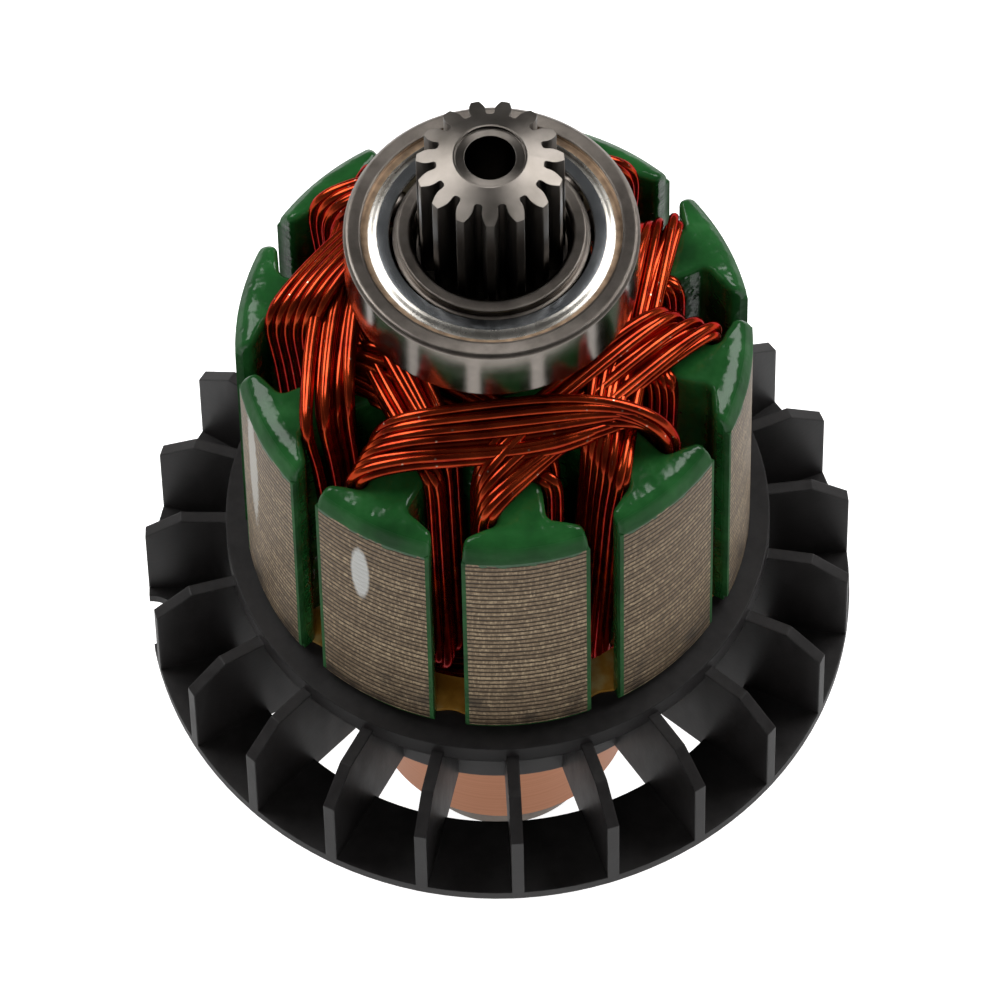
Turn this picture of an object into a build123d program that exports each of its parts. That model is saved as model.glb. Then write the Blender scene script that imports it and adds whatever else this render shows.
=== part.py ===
from build123d import *

import math
import os

os.makedirs("parts", exist_ok=True)

# Armature of a brushed power tool motor, standing on its rear bearing, shaft along +Z.
# The origin is at the middle of the rear bearing's lower face. All lengths are in millimetres.

# Front bearing, a shielded ball bearing of the 15 x 28 x 7 size
front_bore = 15.0
front_outer_diameter = 28.0
front_width = 7.0
front_ball_share = 0.554
front_ball_count = 13

# Rear bearing, a shielded ball bearing of the 7 x 19 x 6 size
rear_bore = 7.0
rear_outer_diameter = 19.0
rear_width = 6.0
rear_ball_share = 0.5
rear_ball_count = 9

# Rings, shields and cage, common to both bearings, in shares of the height from bore to outside
inner_land_share = 0.223
outer_land_share = 0.254
land_step_share = 0.062
shield_gap_share = 0.108
shield_bead_share = 0.169
cage_thickness_share = 0.138
ring_chamfer = 0.35
shield_thickness = 0.3
shield_inset = 0.25
shield_pocket = 0.9
ball_clearance = 0.04
cage_wall = 0.3
pocket_clearance = 0.1

# Core, a stack of punched steel sheets with ten T-shaped teeth
core_diameter = 49.6
core_length = 30.8
tooth_count = 10
first_slot_angle = 6.1
neck_width = 3.9
slot_opening = 3.94
tip_edge_thickness = 1.5
tip_root_radius = 21.9
slot_floor_radius = 11.8
slot_corner_radius = 1.0

# Epoxy coat on the end faces and in the slots
coat_wall = 0.4
coat_top_thickness = 2.3
coat_bottom_thickness = 0.9
coat_bottom_inset = 0.4
coat_edge_radius = 0.6
coat_dome_width = 2.4

# Coils, each wound over three teeth, laid one pair over the other in five levels
slots_per_coil = 3
level_count = 5
strands_per_coil = 5
bundle_thickness = 1.85
bundle_pitch = 1.9
bundle_coat_gap = 0.2
leg_radial_width = 4.5
leg_thickness = 1.9
leg_wall_gap = 0.1
leg_lean = 2.1
coil_fan_clearance = 0.7
front_path_radii = (11.5, 11.5, 11.5, 13.7, 17.0)
rear_path_radii = (10.0, 10.0, 10.0, 10.0, 14.0)
head_width = 5.0
strand_groove_depth = 0.35
strand_groove_width = 0.3

# Lead of each coil, running down to the hook of a commutator bar
lead_diameter = 0.95
lead_inset = 0.7
lead_overlap = 0.8
lead_drop = 1.0
lead_bend_radius = 1.2
hook_bend_radius = 0.6
hook_side_gap = 0.2

# Amber washer between coat and fan
washer_thickness = 0.4
washer_inner_radius = 19.3
washer_outer_radius = 23.1
washer_wave = 0.3
washer_wave_count = 30

# Fan
fan_diameter = 69.8
fan_blade_count = 23
fan_first_blade_angle = 272.0
fan_ring_radius = 26.8
fan_ring_thickness = 2.4
fan_skirt_radius = 21.1
fan_skirt_wall = 1.4
fan_height = 15.5
fan_hook_gap = 0.4
fan_blade_drop = 1.4
fan_blade_end_height = 11.1
fan_blade_top_radius = 31.3
fan_blade_thickness = 1.2
fan_disc_inner_radius = 26.9
fan_disc_thickness = 1.2
fan_blade_overlap = 0.3
balance_notch_angle = 185.2
balance_notch_radius = 2.8

# Commutator
bar_radius = 13.0
bar_length = 23.0
bar_depth = 2.5
bar_gap = 0.6
bar_undercut = 0.8
bar_chamfer = 0.4
bar_count = 10
first_bar_gap_angle = 273.5
hook_gap = 1.0
hook_thickness = 0.8
hook_width = 2.4
hook_height = 2.2
rib_root_overlap = 0.2
hub_top_lip = 0.8

# Shaft
shaft_end_inset = 0.3
shaft_end_chamfer = 0.3
commutator_seat_diameter = 9.0
rear_body_diameter = 11.0
core_seat_diameter = 13.0
front_body_diameter = 15.0
shoulder_diameter = 17.0
shoulder_thickness = 0.7
shoulder_clearance = 0.3
bearing_seat_relief = 3.0

# Rear spacer between the rear bearing and the commutator
spacer_length = 1.8
spacer_diameter = 9.8

# Pinion, cut in the front end of the shaft
pinion_teeth = 15
pinion_tip_radius = 6.95
pinion_root_radius = 5.05
pinion_module = 0.85
pinion_pressure_angle = 25.0
pinion_first_angle = 269.0
pinion_overhang = 13.0
pinion_face_radius = 3.5
pinion_face_drop = 1.3
pinion_root_fillet = 0.3
pinion_tip_fillet = 0.15
centre_hole_diameter = 4.84
centre_hole_depth = 9.0
centre_sink_diameter = 6.6
centre_sink_depth = 0.3

# Heights along the shaft, from the rear bearing up
commutator_bottom = rear_width + spacer_length
hook_top = commutator_bottom + bar_length
fan_bottom = hook_top + fan_hook_gap
fan_top = fan_bottom + fan_height
washer_bottom = fan_top
coat_bottom = washer_bottom + washer_thickness
core_bottom = coat_bottom + coat_bottom_thickness
core_top = core_bottom + core_length
coat_top = core_top + coat_top_thickness
winding_bottom = coat_bottom - bundle_coat_gap - level_count * bundle_pitch
winding_top = coat_top + bundle_coat_gap + level_count * bundle_pitch
shoulder_bottom = winding_top + shoulder_clearance
front_bearing_bottom = shoulder_bottom + shoulder_thickness
front_bearing_top = front_bearing_bottom + front_width
pinion_top = front_bearing_top + pinion_overhang

core_radius = core_diameter / 2
slot_pitch = 360 / tooth_count
bar_pitch = 360 / bar_count
first_bar_offset = first_bar_gap_angle + bar_pitch / 2 - first_slot_angle
hook_offset_angle = first_bar_offset - bar_pitch * round(first_bar_offset / bar_pitch)


def polar(radius, angle):
    """A point at this radius and angle in degrees."""
    return (radius * math.cos(math.radians(angle)), radius * math.sin(math.radians(angle)))


def distance_out(corner):
    """Distance of a corner from the shaft's axis."""
    return math.hypot(corner.X, corner.Y)


def finish(builder, name):
    """Label the piece and write its STEP file."""
    builder.part.label = name
    export_step(builder.part, f"parts/{name}.step")


def make_bearing(prefix, bore, outer_diameter, width, bottom, ball_share, ball_count):
    """Six pieces of one shielded ball bearing with its lower face at this height."""
    bore_radius = bore / 2
    outer_radius = outer_diameter / 2
    section = outer_radius - bore_radius
    ball_diameter = ball_share * section
    inner_land = inner_land_share * section
    outer_land = outer_land_share * section
    land_step = land_step_share * section
    shield_gap = shield_gap_share * section
    shield_bead = shield_bead_share * section
    cage_thickness = cage_thickness_share * section
    top = bottom + width
    middle = bottom + width / 2
    inner_face_radius = bore_radius + inner_land
    outer_face_radius = outer_radius - outer_land
    inner_shoulder = inner_face_radius + land_step
    outer_shoulder = outer_face_radius - land_step
    pitch_radius = (inner_face_radius + outer_face_radius) / 2
    groove_radius = ball_diameter / 2 + ball_clearance
    inner_groove_half = math.sqrt(groove_radius**2 - (pitch_radius - inner_shoulder) ** 2)
    outer_groove_half = math.sqrt(groove_radius**2 - (outer_shoulder - pitch_radius) ** 2)

    # Inner ring, turned, with a ball groove and a step beside each shield
    with BuildPart() as inner_ring:
        with BuildSketch(Plane.XZ):
            with BuildLine():
                Polyline(
                    (inner_shoulder, middle + inner_groove_half),
                    (inner_shoulder, top - shield_pocket),
                    (inner_face_radius, top - shield_pocket),
                    (inner_face_radius, top),
                    (bore_radius + ring_chamfer, top),
                    (bore_radius, top - ring_chamfer),
                    (bore_radius, bottom + ring_chamfer),
                    (bore_radius + ring_chamfer, bottom),
                    (inner_face_radius, bottom),
                    (inner_face_radius, bottom + shield_pocket),
                    (inner_shoulder, bottom + shield_pocket),
                    (inner_shoulder, middle - inner_groove_half),
                )
                ThreePointArc(
                    (inner_shoulder, middle - inner_groove_half),
                    (pitch_radius - groove_radius, middle),
                    (inner_shoulder, middle + inner_groove_half),
                )
            make_face()
        revolve(axis=Axis.Z)
    finish(inner_ring, f"{prefix}_inner_ring")

    # Outer ring, turned, with a ball groove and a pocket for each shield
    with BuildPart() as outer_ring:
        with BuildSketch(Plane.XZ):
            with BuildLine():
                Polyline(
                    (outer_shoulder, middle - outer_groove_half),
                    (outer_shoulder, bottom + shield_pocket),
                    (outer_face_radius, bottom + shield_pocket),
                    (outer_face_radius, bottom),
                    (outer_radius - ring_chamfer, bottom),
                    (outer_radius, bottom + ring_chamfer),
                    (outer_radius, top - ring_chamfer),
                    (outer_radius - ring_chamfer, top),
                    (outer_face_radius, top),
                    (outer_face_radius, top - shield_pocket),
                    (outer_shoulder, top - shield_pocket),
                    (outer_shoulder, middle + outer_groove_half),
                )
                ThreePointArc(
                    (outer_shoulder, middle + outer_groove_half),
                    (pitch_radius + groove_radius, middle),
                    (outer_shoulder, middle - outer_groove_half),
                )
            make_face()
        revolve(axis=Axis.Z)
    finish(outer_ring, f"{prefix}_outer_ring")

    # Balls, a group of separate solids
    with BuildPart() as balls:
        with Locations(Plane.XY.offset(middle)):
            with PolarLocations(pitch_radius, ball_count, start_angle=180 / ball_count):
                Sphere(ball_diameter / 2)
    finish(balls, f"{prefix}_balls")

    # Cage, one moulded ring with a round pocket drilled in from the side for each ball
    pocket_radius = ball_diameter / 2 + pocket_clearance
    with BuildPart() as cage:
        with BuildSketch(Plane.XY.offset(middle - pocket_radius - cage_wall)):
            Circle(pitch_radius + cage_thickness / 2)
            Circle(pitch_radius - cage_thickness / 2, mode=Mode.SUBTRACT)
        extrude(amount=2 * (pocket_radius + cage_wall))
        with Locations(Plane.XY.offset(middle)):
            with PolarLocations(pitch_radius, ball_count, start_angle=180 / ball_count):
                Cylinder(pocket_radius, 3 * cage_thickness, rotation=(0, 90, 0), mode=Mode.SUBTRACT)
    finish(cage, f"{prefix}_cage")

    # Two pressed shields, held in the outer ring, sunk a little below its faces
    for side, face, inward in (("upper", top, -1), ("lower", bottom, 1)):
        flat_face = face + inward * shield_inset
        seat_face = face + inward * (shield_pocket - shield_thickness)
        with BuildPart() as shield:
            with BuildSketch(Plane.XZ):
                with BuildLine():
                    Polyline(
                        (inner_face_radius + shield_gap, flat_face),
                        (outer_face_radius - shield_bead - land_step, flat_face),
                        (outer_face_radius - land_step, seat_face),
                        (outer_face_radius, seat_face),
                        (outer_face_radius, seat_face + inward * shield_thickness),
                        (outer_face_radius - land_step, seat_face + inward * shield_thickness),
                        (outer_face_radius - shield_bead - land_step, flat_face + inward * shield_thickness),
                        (inner_face_radius + shield_gap, flat_face + inward * shield_thickness),
                        close=True,
                    )
                make_face()
            revolve(axis=Axis.Z)
        finish(shield, f"{prefix}_{side}_shield")


make_bearing(
    "front_bearing",
    front_bore,
    front_outer_diameter,
    front_width,
    front_bearing_bottom,
    front_ball_share,
    front_ball_count,
)
make_bearing(
    "rear_bearing",
    rear_bore,
    rear_outer_diameter,
    rear_width,
    0,
    rear_ball_share,
    rear_ball_count,
)


# Pinion tooth, with each flank an involute of the base circle
pitch_circle_radius = pinion_module * pinion_teeth / 2
base_circle_radius = pitch_circle_radius * math.cos(math.radians(pinion_pressure_angle))
flank_start_radius = max(base_circle_radius, pinion_root_radius)
flank_points = 4
tooth_root_overlap = 0.3
corner_reach = 0.01


def involute_angle(radius):
    """Angle in degrees by which the involute has turned where it reaches this radius."""
    roll = math.acos(min(1, base_circle_radius / radius))
    return math.degrees(math.tan(roll) - roll)


half_tooth_at_pitch = 90 / pinion_teeth
half_tooth_at_base = half_tooth_at_pitch + involute_angle(pitch_circle_radius)


def flank(side):
    """Points of one flank from the root to the tip, on the side given by plus or minus one."""
    points = [polar(pinion_root_radius - tooth_root_overlap, side * half_tooth_at_base)]
    for step in range(flank_points):
        share = step / (flank_points - 1)
        radius = flank_start_radius + share * (pinion_tip_radius - flank_start_radius)
        points.append(polar(radius, side * (half_tooth_at_base - involute_angle(radius))))
    return points


with BuildSketch() as pinion_tooth:
    with BuildLine():
        Polyline(*flank(1)[:2])
        Spline(*flank(1)[1:])
        ThreePointArc(flank(1)[-1], (pinion_tip_radius, 0), flank(-1)[-1])
        Spline(*flank(-1)[1:])
        Polyline(*flank(-1)[:2])
        Line(flank(1)[0], flank(-1)[0])
    make_face()

# Shaft, turned from one bar, with the pinion cut in its front end
pinion_bottom = front_bearing_top - bearing_seat_relief
with BuildPart() as shaft:
    with BuildSketch(Plane.XZ):
        with BuildLine():
            Polyline(
                (0, shaft_end_inset),
                (rear_bore / 2 - shaft_end_chamfer, shaft_end_inset),
                (rear_bore / 2, shaft_end_inset + shaft_end_chamfer),
                (rear_bore / 2, commutator_bottom),
                (commutator_seat_diameter / 2, commutator_bottom),
                (commutator_seat_diameter / 2, commutator_bottom + bar_length + hub_top_lip),
                (rear_body_diameter / 2, commutator_bottom + bar_length + hub_top_lip),
                (rear_body_diameter / 2, coat_bottom),
                (core_seat_diameter / 2, coat_bottom),
                (core_seat_diameter / 2, coat_top),
                (front_body_diameter / 2, coat_top),
                (front_body_diameter / 2, shoulder_bottom),
                (shoulder_diameter / 2, shoulder_bottom),
                (shoulder_diameter / 2, front_bearing_bottom),
                (front_bore / 2, front_bearing_bottom),
                (front_bore / 2, pinion_bottom - ring_chamfer),
                (front_bore / 2 - ring_chamfer, pinion_bottom),
                (pinion_root_radius, pinion_bottom),
                (pinion_root_radius, pinion_top),
                (0, pinion_top),
                close=True,
            )
        make_face()
    revolve(axis=Axis.Z)
    with BuildSketch(Plane.XY.offset(pinion_bottom)) as pinion_section:
        Circle(pinion_root_radius)
        with PolarLocations(0, pinion_teeth, start_angle=pinion_first_angle):
            add(pinion_tooth.sketch)
        for radius, rounding in (
            (pinion_root_radius, pinion_root_fillet),
            (pinion_tip_radius, pinion_tip_fillet),
        ):
            corners = pinion_section.vertices()
            at_radius = corners.filter_by(lambda corner: abs(distance_out(corner) - radius) < corner_reach)
            fillet(at_radius, rounding)
    extrude(amount=pinion_overhang + bearing_seat_relief)
    # The end face is flat in the middle and falls away over the teeth
    with BuildSketch(Plane.XZ):
        with BuildLine():
            Polyline(
                (pinion_face_radius, pinion_top),
                (pinion_tip_radius, pinion_top - pinion_face_drop),
                (front_bore, pinion_top - pinion_face_drop),
                (front_bore, pinion_top + pinion_face_drop),
                (pinion_face_radius, pinion_top + pinion_face_drop),
                close=True,
            )
        make_face()
    revolve(axis=Axis.Z, mode=Mode.SUBTRACT)
    # Blind centre hole in a shallow round recess
    with Locations((0, 0, pinion_top)):
        CounterBoreHole(
            centre_hole_diameter / 2, centre_sink_diameter / 2, centre_sink_depth, depth=centre_hole_depth
        )
finish(shaft, "shaft")


def slot_outline(inset):
    """Corners of one slot along +X, with all its walls moved inward by this much."""
    half_opening = slot_opening / 2 - inset
    half_neck = neck_width / 2 + inset
    tooth_angle = math.radians(slot_pitch / 2)
    corners = []
    for radius in (slot_floor_radius + inset, tip_root_radius - inset):
        along = math.sqrt(radius**2 - half_neck**2)
        x = along * math.cos(tooth_angle) + half_neck * math.sin(tooth_angle)
        y = along * math.sin(tooth_angle) - half_neck * math.cos(tooth_angle)
        corners.append((x, y))
    mouth = [(core_radius - tip_edge_thickness - inset, half_opening), (core_diameter, half_opening)]
    upper = corners + mouth
    return upper + [(x, -y) for x, y in reversed(upper)]


with BuildSketch() as bare_slot:
    with BuildLine():
        FilletPolyline(*slot_outline(0), radius=slot_corner_radius, close=True)
    make_face()

with BuildSketch() as coated_slot:
    with BuildLine():
        FilletPolyline(*slot_outline(coat_wall), radius=slot_corner_radius, close=True)
    make_face()

# Core, the stack of steel sheets as one block with its ten slots
with BuildPart() as core:
    with BuildSketch(Plane.XY.offset(core_bottom)):
        Circle(core_radius)
        Circle(core_seat_diameter / 2, mode=Mode.SUBTRACT)
        with PolarLocations(0, tooth_count, start_angle=first_slot_angle):
            add(bare_slot.sketch, mode=Mode.SUBTRACT)
    extrude(amount=core_length)
finish(core, "core")

# Epoxy coat, thick and domed on the front face, thin on the rear face and along the walls of the slots
with BuildPart() as core_coat:
    with BuildSketch(Plane.XZ):
        with BuildLine():
            Polyline(
                (core_radius, core_top),
                (core_seat_diameter / 2, core_top),
                (core_seat_diameter / 2, coat_top),
                (core_radius - coat_dome_width, coat_top),
            )
            EllipticalCenterArc(
                (core_radius - coat_dome_width, core_top),
                coat_dome_width,
                coat_top_thickness,
                start_angle=0,
                arc_size=90,
            )
        make_face()
    revolve(axis=Axis.Z)
    with BuildSketch(Plane.XY.offset(core_top)):
        with PolarLocations(0, tooth_count, start_angle=first_slot_angle):
            add(coated_slot.sketch)
    extrude(amount=coat_top_thickness, mode=Mode.SUBTRACT)
    rims = core_coat.edges().filter_by(lambda edge: edge.center().Z > coat_top - corner_reach)
    fillet(rims.filter_by(lambda edge: distance_out(edge.center()) > slot_floor_radius), coat_edge_radius)
    for bottom, top, radius in (
        (coat_bottom, core_bottom, core_radius - coat_bottom_inset),
        (core_bottom, core_top, core_radius),
    ):
        with BuildSketch(Plane.XY.offset(bottom)):
            Circle(radius)
            Circle(core_seat_diameter / 2, mode=Mode.SUBTRACT)
            with PolarLocations(0, tooth_count, start_angle=first_slot_angle):
                add(coated_slot.sketch, mode=Mode.SUBTRACT)
        extrude(amount=top - bottom)
    with BuildSketch(Plane.XY.offset(core_bottom)):
        Circle(core_radius)
        with PolarLocations(0, tooth_count, start_angle=first_slot_angle):
            add(bare_slot.sketch, mode=Mode.SUBTRACT)
    extrude(amount=core_length, mode=Mode.SUBTRACT)
finish(core_coat, "core_coat")


def head_z(level, front):
    """Lower and upper height of the head of a coil of this level, on the front or rear side."""
    step = bundle_coat_gap + level * bundle_pitch
    if front:
        return (coat_top + step, coat_top + step + bundle_thickness)
    return (coat_bottom - step - bundle_thickness, coat_bottom - step)


def leg_shift(height):
    """How far a leg has leaned outward at this height, from none at the coat's rear face."""
    return leg_lean * (height - coat_bottom) / (coat_top - coat_bottom)


def leg_point(along, across, side):
    """A point beside the neck of the coil's last tooth on this side, in the coil's own frame."""
    tooth_angle = side * (half_span - slot_pitch / 2)
    outward = polar(along, tooth_angle)
    sideways = polar(across, tooth_angle + side * 90)
    return (outward[0] + sideways[0], outward[1] + sideways[1])


def strand_line(leg_along, middle_radius):
    """Arc of one strand from leg to leg in the coil's own frame, where its middle lies along +X."""
    ThreePointArc(
        leg_point(leg_along, leg_far, -1),
        (middle_radius, 0),
        leg_point(leg_along, leg_far, 1),
    )


def leg_edges(inner, outer):
    """The two short edges that close an outline between two strand lines."""
    for side in (-1, 1):
        Line(leg_point(inner, leg_far, side), leg_point(outer, leg_far, side))


half_span = slots_per_coil * slot_pitch / 2
hook_wire_radius = bar_radius + hook_gap / 2
hook_wire_z = hook_top - hook_thickness - lead_diameter / 2
leg_near = neck_width / 2 + coat_wall + leg_wall_gap
leg_far = leg_near + leg_thickness
leg_reach_radius = fan_skirt_radius - fan_skirt_wall - coil_fan_clearance
leg_outer = math.sqrt(leg_reach_radius**2 - leg_far**2)
leg_inner = leg_outer - leg_radial_width

# Coils, two to a level, the second straight across from the first
for index in range(tooth_count):
    level = index // 2
    start_angle = first_slot_angle - level * slot_pitch + 180 * (index % 2)
    middle_angle = start_angle + half_span
    along = polar(1, middle_angle)
    rear_bottom = head_z(level, False)[0]
    front_bottom, front_top = head_z(level, True)
    rear_leg_inner = leg_inner + leg_shift(rear_bottom)
    front_leg_inner = leg_inner + leg_shift(front_bottom)
    rear_path_radius = rear_path_radii[level]
    front_path_radius = front_path_radii[level]
    with BuildPart() as coil:
        # Two heads, one over each end of the core
        for bottom, inner, path_radius in (
            (rear_bottom, rear_leg_inner, rear_path_radius),
            (front_bottom, front_leg_inner, front_path_radius),
        ):
            with BuildSketch(Plane((0, 0, bottom), x_dir=(along[0], along[1], 0))):
                with BuildLine():
                    strand_line(inner + leg_radial_width, path_radius + head_width / 2)
                    strand_line(inner, path_radius - head_width / 2)
                    leg_edges(inner, inner + leg_radial_width)
                make_face()
            extrude(amount=bundle_thickness)
        # Two legs, each along the neck of a tooth, leaning out toward the front
        leg_height = front_top - rear_bottom
        leg_reach = leg_shift(front_top) - leg_shift(rear_bottom)
        for side in (-1, 1):
            neck = polar(1, middle_angle + side * (half_span - slot_pitch / 2))
            with BuildSketch(Plane((0, 0, rear_bottom), x_dir=(neck[0], neck[1], 0))):
                with Locations((rear_leg_inner + leg_radial_width / 2, side * (leg_near + leg_far) / 2)):
                    Rectangle(leg_radial_width, leg_thickness)
            leg_run = Vector(leg_reach * neck[0], leg_reach * neck[1], leg_height)
            extrude(amount=leg_run.length, dir=leg_run.normalized())
        # Grooves between the strands, cut into the outer face of each head
        for face, inward, inner, path_radius in (
            (rear_bottom, 1, rear_leg_inner, rear_path_radius),
            (front_top, -1, front_leg_inner, front_path_radius),
        ):
            with BuildSketch(Plane((0, 0, face), x_dir=(along[0], along[1], 0))):
                for strand in range(1, strands_per_coil):
                    share = strand / strands_per_coil
                    leg_along = inner + share * leg_radial_width - strand_groove_width / 2
                    middle_radius = path_radius + (share - 0.5) * head_width - strand_groove_width / 2
                    with BuildLine():
                        strand_line(leg_along, middle_radius)
                        strand_line(leg_along + strand_groove_width, middle_radius + strand_groove_width)
                        leg_edges(leg_along, leg_along + strand_groove_width)
                    make_face()
            extrude(amount=inward * strand_groove_depth, mode=Mode.SUBTRACT)
        # Lead from the rear end of the first leg, down beside the hook of the nearest bar and under it
        leg_frame = Plane((0, 0, 0), x_dir=(*polar(1, start_angle + slot_pitch / 2), 0))
        bar_frame = Plane((0, 0, 0), x_dir=(*polar(1, start_angle + hook_offset_angle), 0))
        lead_along = rear_leg_inner + leg_radial_width - lead_inset
        lead_side = -(leg_near + leg_far) / 2
        bar_side = hook_width / 2 + hook_side_gap + lead_diameter / 2
        lead_top = leg_frame.from_local_coords((lead_along, lead_side, rear_bottom + lead_overlap))
        with BuildLine() as lead_path:
            FilletPolyline(
                lead_top,
                leg_frame.from_local_coords((lead_along, lead_side, winding_bottom - lead_drop)),
                bar_frame.from_local_coords((hook_wire_radius, bar_side, hook_top + lead_drop)),
                bar_frame.from_local_coords((hook_wire_radius, bar_side, hook_wire_z)),
                bar_frame.from_local_coords((hook_wire_radius, -bar_side, hook_wire_z)),
                radius=(lead_bend_radius, lead_bend_radius, hook_bend_radius),
            )
        with BuildSketch(Plane(lead_top)):
            Circle(lead_diameter / 2)
        sweep(path=lead_path.line)
    finish(coil, f"coil_{index + 1}")

# Amber insulating washer between coat and fan, with a wavy punched edge
with BuildPart() as amber_washer:
    with BuildSketch(Plane.XY.offset(washer_bottom)):
        with BuildLine():
            wave_points = []
            for step in range(2 * washer_wave_count):
                wave_radius = washer_outer_radius + washer_wave * (-1) ** step
                wave_points.append(polar(wave_radius, 180 * step / washer_wave_count))
            Spline(*wave_points, periodic=True)
        make_face()
        Circle(washer_inner_radius, mode=Mode.SUBTRACT)
    extrude(amount=washer_thickness)
finish(amber_washer, "amber_washer")

# Fan, one moulding: ring and skirt, straight blades and the disc under their outer ends
fan_radius = fan_diameter / 2
fan_bore_radius = fan_skirt_radius - fan_skirt_wall
with BuildPart() as fan:
    with BuildSketch(Plane.XZ):
        with BuildLine():
            Polyline(
                (fan_skirt_radius - fan_blade_overlap, fan_bottom),
                (fan_radius, fan_bottom),
                (fan_radius, fan_bottom + fan_blade_end_height),
                (fan_blade_top_radius, fan_top - fan_blade_drop),
                (fan_skirt_radius - fan_blade_overlap, fan_top - fan_blade_drop),
                close=True,
            )
        make_face()
    blade = extrude(amount=fan_blade_thickness / 2, both=True, mode=Mode.PRIVATE)
    with PolarLocations(0, fan_blade_count, start_angle=fan_first_blade_angle):
        add(blade)
    with BuildSketch(Plane.XY.offset(fan_top - fan_ring_thickness)):
        Circle(fan_ring_radius)
        Circle(fan_bore_radius, mode=Mode.SUBTRACT)
    extrude(amount=fan_ring_thickness)
    with BuildSketch(Plane.XY.offset(fan_bottom)):
        Circle(fan_skirt_radius)
        Circle(fan_bore_radius, mode=Mode.SUBTRACT)
    extrude(amount=fan_height)
    with BuildSketch(Plane.XY.offset(fan_bottom)):
        Circle(fan_radius)
        Circle(fan_disc_inner_radius, mode=Mode.SUBTRACT)
    extrude(amount=fan_disc_thickness)
    # Half-round notch ground into the rim for balance
    with BuildSketch(Plane.XY.offset(fan_bottom)):
        with Locations(polar(fan_radius, balance_notch_angle)):
            Circle(balance_notch_radius)
    extrude(amount=fan_disc_thickness, mode=Mode.SUBTRACT)
finish(fan, "fan")

# Commutator bars, one solid each, with a hook at the upper end for the lead
bar_inner_radius = bar_radius - bar_depth
half_bar = math.radians(bar_pitch / 2)
wedge_tip = bar_gap / 2 / math.sin(half_bar)
for index in range(bar_count):
    along = polar(1, first_bar_gap_angle + (index + 0.5) * bar_pitch)
    with BuildPart() as bar:
        with BuildSketch(Plane((0, 0, commutator_bottom), x_dir=(along[0], along[1], 0))):
            Circle(bar_radius)
            Circle(bar_inner_radius, mode=Mode.SUBTRACT)
            with BuildLine():
                Polyline(
                    (wedge_tip, 0),
                    (wedge_tip + 2 * bar_radius * math.cos(half_bar), -2 * bar_radius * math.sin(half_bar)),
                    (wedge_tip + 2 * bar_radius * math.cos(half_bar), 2 * bar_radius * math.sin(half_bar)),
                    close=True,
                )
            make_face(mode=Mode.INTERSECT)
        extrude(amount=bar_length)
        outer_edges = bar.edges().filter_by(GeomType.CIRCLE).group_by(Axis.Z)[0]
        chamfer(outer_edges.sort_by(SortBy.RADIUS)[-1], bar_chamfer)
        with BuildSketch(Plane((0, 0, 0), x_dir=(along[0], along[1], 0), z_dir=(along[1], -along[0], 0))):
            with BuildLine():
                Polyline(
                    (bar_radius - bar_chamfer, hook_top),
                    (bar_radius + hook_gap + hook_thickness, hook_top),
                    (bar_radius + hook_gap + hook_thickness, hook_top - hook_height),
                    (bar_radius + hook_gap, hook_top - hook_height),
                    (bar_radius + hook_gap, hook_top - hook_thickness),
                    (bar_radius - bar_chamfer, hook_top - hook_thickness),
                    close=True,
                )
            make_face()
        extrude(amount=hook_width / 2, both=True)
    finish(bar, f"commutator_bar_{index + 1}")

# Commutator body, moulded under and between the bars
rib_depth = bar_depth - bar_undercut + rib_root_overlap
rib_middle_radius = bar_radius - bar_undercut - rib_depth / 2
with BuildPart() as commutator_body:
    with BuildSketch(Plane.XY.offset(commutator_bottom)):
        Circle(bar_inner_radius)
        with PolarLocations(rib_middle_radius, bar_count, start_angle=first_bar_gap_angle):
            Rectangle(rib_depth, bar_gap)
        Circle(commutator_seat_diameter / 2, mode=Mode.SUBTRACT)
    extrude(amount=bar_length)
    with BuildSketch(Plane.XY.offset(commutator_bottom + bar_length)):
        Circle(bar_radius - bar_undercut)
        Circle(commutator_seat_diameter / 2, mode=Mode.SUBTRACT)
    extrude(amount=hub_top_lip)
finish(commutator_body, "commutator_body")

# Spacer between the rear bearing and the commutator
with BuildPart() as rear_spacer:
    with BuildSketch(Plane.XY.offset(rear_width)):
        Circle(spacer_diameter / 2)
        Circle(rear_bore / 2, mode=Mode.SUBTRACT)
    extrude(amount=spacer_length)
finish(rear_spacer, "rear_spacer")
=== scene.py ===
import bpy
import math
import random
from mathutils import Matrix, Vector


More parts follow.
